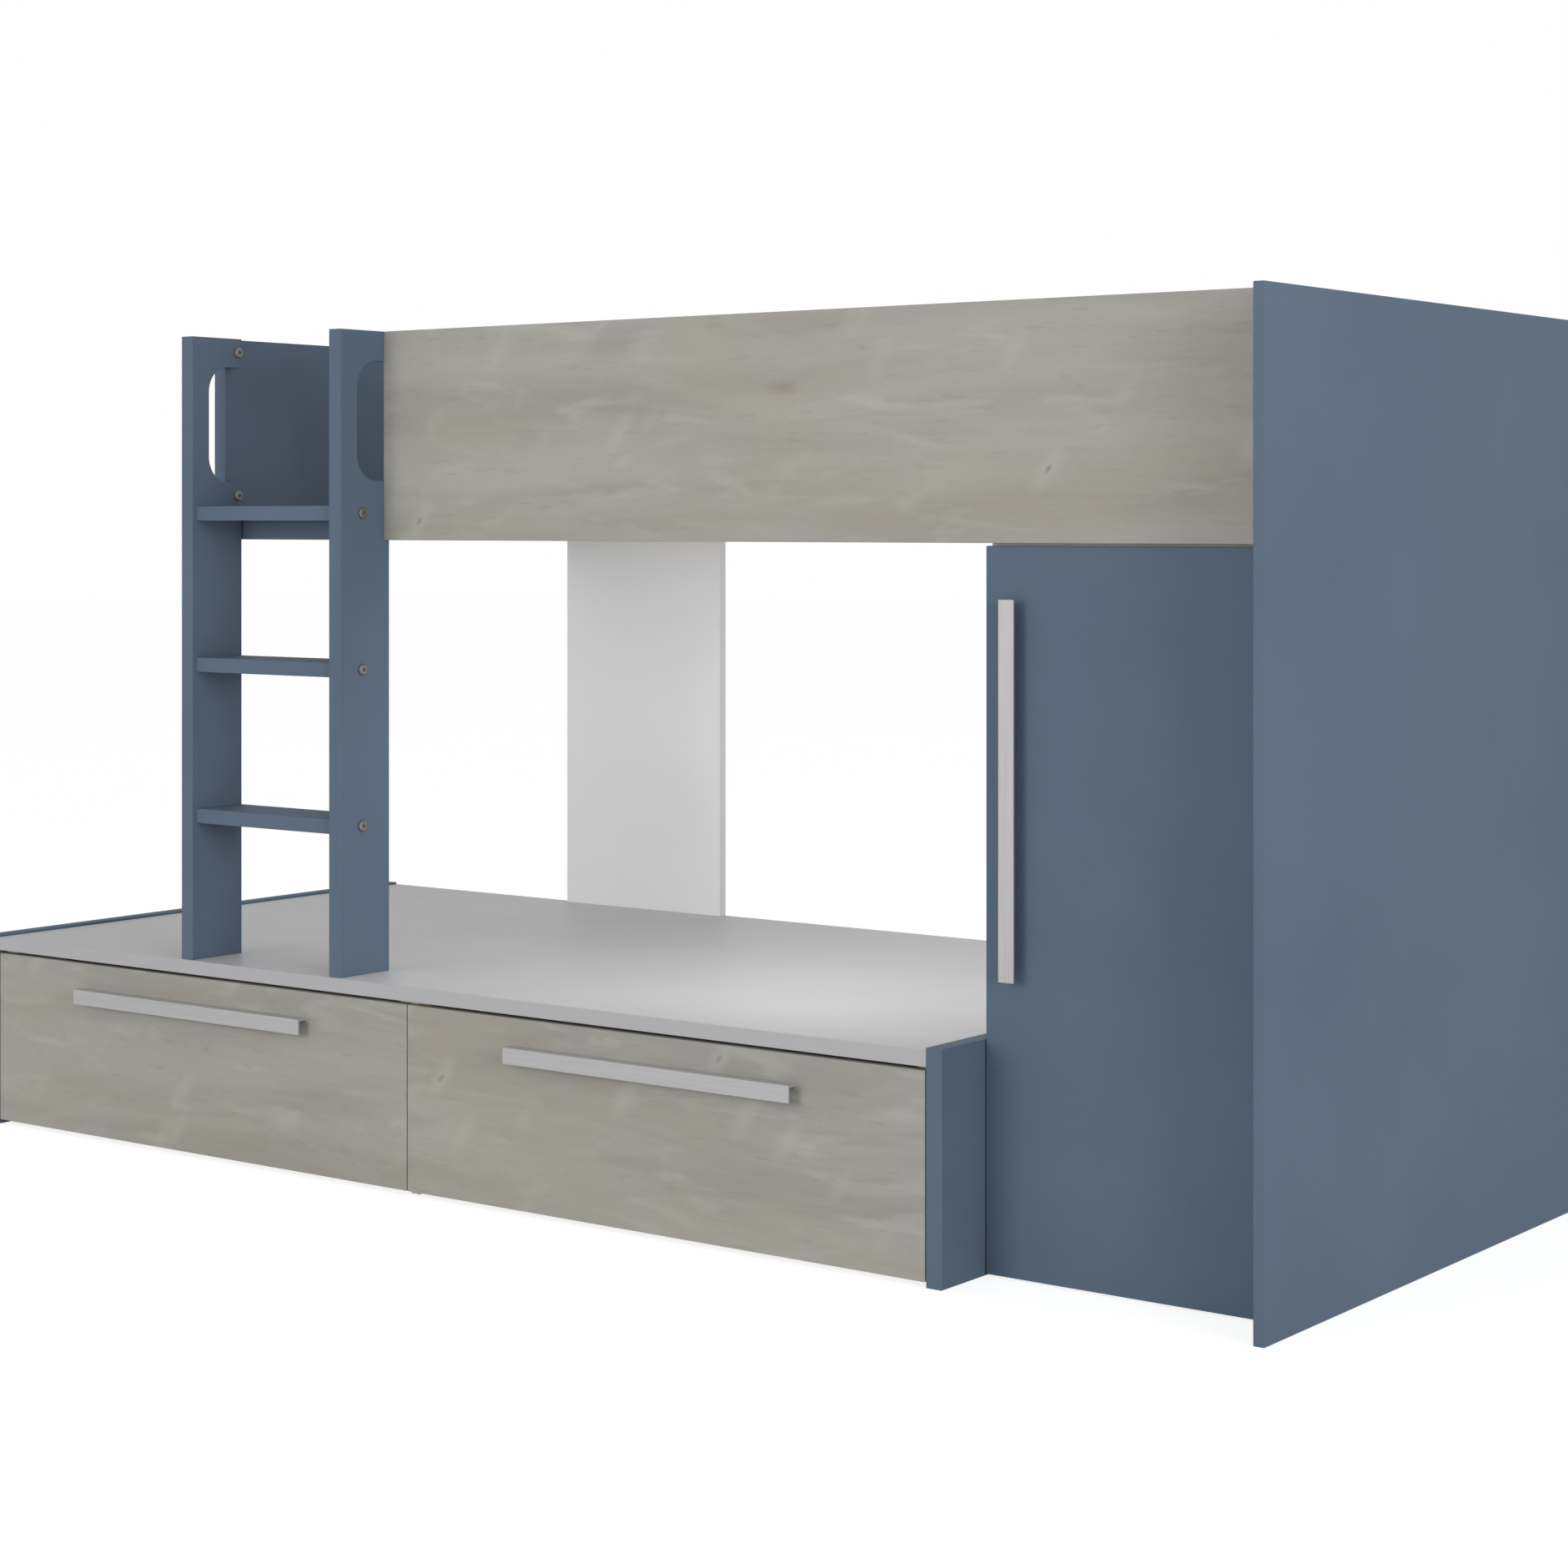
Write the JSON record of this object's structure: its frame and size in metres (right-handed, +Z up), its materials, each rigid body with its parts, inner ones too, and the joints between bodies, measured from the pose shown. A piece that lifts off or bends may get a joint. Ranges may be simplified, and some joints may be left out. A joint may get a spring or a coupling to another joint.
{
  "type": "bunk bed",
  "caption": "Bunk bed with offset bunks, castor drawers below, a front ladder with hand grips, solid guards and a narrow wardrobe under the upper bunk.",
  "frame": {"origin": "on the floor, in the middle of the outline, drawer handles included", "axes": "+X along the bunks towards the wardrobe end, +Y from the drawer side to the back, +Z up"},
  "size_m": [2.592, 1.052, 1.408],
  "materials": {
    "blue_board": "matte grey-blue faced board",
    "oak_board": "matte greyed oak grain, running along the board",
    "white_board": "matte white faced board",
    "plain_wood": "bare planed softwood",
    "handle_aluminium": "satin",
    "bolt_steel": "satin plated",
    "zinc_steel": "zinc plated",
    "wheel_plastic": "matte"
  },
  "bodies": {
    "bed_frame": {"back_guard": "oak_board", "back_support_board": "white_board", "front_guard": "oak_board", "hinge_frame_leaves": "zinc_steel", "hinge_pins": "zinc_steel", "ladder_left_rail": "blue_board", "ladder_right_rail": "blue_board", "ladder_step_1": "blue_board", "ladder_step_2": "blue_board", "ladder_step_3": "blue_board", "lower_back_board": "white_board", "lower_left_end_panel": "blue_board", "lower_platform": "white_board", "lower_right_end_panel": "blue_board", "middle_support": "white_board", "platform_bearers": "plain_wood", "rail_bolts": "bolt_steel", "right_end_panel": "blue_board", "shelf_pins": "zinc_steel", "step_bolts": "bolt_steel", "support_dowels": "plain_wood", "upper_back_bearer": "plain_wood", "upper_base": "white_board", "upper_cross_bearers": "plain_wood", "upper_front_bearer": "blue_board", "upper_left_end_panel": "blue_board", "wardrobe_back": "white_board", "wardrobe_bottom": "white_board", "wardrobe_plinth": "white_board", "wardrobe_shelf_1": "white_board", "wardrobe_shelf_2": "white_board", "wardrobe_side_panel": "white_board", "wardrobe_top": "white_board"},
    "left_drawer": {"left_drawer_back": "white_board", "left_drawer_bottom": "white_board", "left_drawer_castor_axles": "zinc_steel", "left_drawer_castor_brackets": "zinc_steel", "left_drawer_front": "oak_board", "left_drawer_handle": "handle_aluminium", "left_drawer_left_side": "white_board", "left_drawer_right_side": "white_board"},
    "right_drawer": {"right_drawer_back": "white_board", "right_drawer_bottom": "white_board", "right_drawer_castor_axles": "zinc_steel", "right_drawer_castor_brackets": "zinc_steel", "right_drawer_front": "oak_board", "right_drawer_handle": "handle_aluminium", "right_drawer_left_side": "white_board", "right_drawer_right_side": "white_board"},
    "left_drawer_wheel_back_left": {"left_drawer_wheel_back_left": "wheel_plastic"},
    "left_drawer_wheel_back_right": {"left_drawer_wheel_back_right": "wheel_plastic"},
    "left_drawer_wheel_front_left": {"left_drawer_wheel_front_left": "wheel_plastic"},
    "left_drawer_wheel_front_right": {"left_drawer_wheel_front_right": "wheel_plastic"},
    "right_drawer_wheel_back_left": {"right_drawer_wheel_back_left": "wheel_plastic"},
    "right_drawer_wheel_back_right": {"right_drawer_wheel_back_right": "wheel_plastic"},
    "right_drawer_wheel_front_left": {"right_drawer_wheel_front_left": "wheel_plastic"},
    "right_drawer_wheel_front_right": {"right_drawer_wheel_front_right": "wheel_plastic"},
    "wardrobe_door": {"wardrobe_door": "blue_board", "wardrobe_door_handle": "handle_aluminium", "hinge_door_leaves": "zinc_steel"}
  },
  "joints": [
    {"name": "left_drawer_slide", "type": "slide", "parent": "bed_frame", "child": "left_drawer", "axis": [0, -1, 0], "range_m": [0, 0.6]},
    {"name": "right_drawer_slide", "type": "slide", "parent": "bed_frame", "child": "right_drawer", "axis": [0, -1, 0], "range_m": [0, 0.6]},
    {"name": "left_drawer_wheel_front_left_roll", "type": "hinge", "parent": "left_drawer", "child": "left_drawer_wheel_front_left", "pos_m": [-1.202, -0.432, 0.02], "axis": [1, 0, 0], "range_deg": [0, 1720]},
    {"name": "left_drawer_wheel_front_right_roll", "type": "hinge", "parent": "left_drawer", "child": "left_drawer_wheel_front_right", "pos_m": [-0.3315, -0.432, 0.02], "axis": [1, 0, 0], "range_deg": [0, 1720]},
    {"name": "left_drawer_wheel_back_left_roll", "type": "hinge", "parent": "left_drawer", "child": "left_drawer_wheel_back_left", "pos_m": [-1.202, 0.158, 0.02], "axis": [1, 0, 0], "range_deg": [0, 1720]},
    {"name": "left_drawer_wheel_back_right_roll", "type": "hinge", "parent": "left_drawer", "child": "left_drawer_wheel_back_right", "pos_m": [-0.3315, 0.158, 0.02], "axis": [1, 0, 0], "range_deg": [0, 1720]},
    {"name": "right_drawer_wheel_front_left_roll", "type": "hinge", "parent": "right_drawer", "child": "right_drawer_wheel_front_left", "pos_m": [-0.1805, -0.432, 0.02], "axis": [1, 0, 0], "range_deg": [0, 1720]},
    {"name": "right_drawer_wheel_front_right_roll", "type": "hinge", "parent": "right_drawer", "child": "right_drawer_wheel_front_right", "pos_m": [0.69, -0.432, 0.02], "axis": [1, 0, 0], "range_deg": [0, 1720]},
    {"name": "right_drawer_wheel_back_left_roll", "type": "hinge", "parent": "right_drawer", "child": "right_drawer_wheel_back_left", "pos_m": [-0.1805, 0.158, 0.02], "axis": [1, 0, 0], "range_deg": [0, 1720]},
    {"name": "right_drawer_wheel_back_right_roll", "type": "hinge", "parent": "right_drawer", "child": "right_drawer_wheel_back_right", "pos_m": [0.69, 0.158, 0.02], "axis": [1, 0, 0], "range_deg": [0, 1720]},
    {"name": "wardrobe_door_hinge", "type": "hinge", "parent": "bed_frame", "child": "wardrobe_door", "pos_m": [1.27492, -0.3963, 0.5], "axis": [0, 0, 1], "range_deg": [0, 90]}
  ],
  "couplings": [
    {"joint": "left_drawer_wheel_front_left_roll", "follows": "left_drawer_slide", "rad_per_m": 50},
    {"joint": "left_drawer_wheel_front_right_roll", "follows": "left_drawer_slide", "rad_per_m": 50},
    {"joint": "left_drawer_wheel_back_left_roll", "follows": "left_drawer_slide", "rad_per_m": 50},
    {"joint": "left_drawer_wheel_back_right_roll", "follows": "left_drawer_slide", "rad_per_m": 50},
    {"joint": "right_drawer_wheel_front_left_roll", "follows": "right_drawer_slide", "rad_per_m": 50},
    {"joint": "right_drawer_wheel_front_right_roll", "follows": "right_drawer_slide", "rad_per_m": 50},
    {"joint": "right_drawer_wheel_back_left_roll", "follows": "right_drawer_slide", "rad_per_m": 50},
    {"joint": "right_drawer_wheel_back_right_roll", "follows": "right_drawer_slide", "rad_per_m": 50}
  ]
}
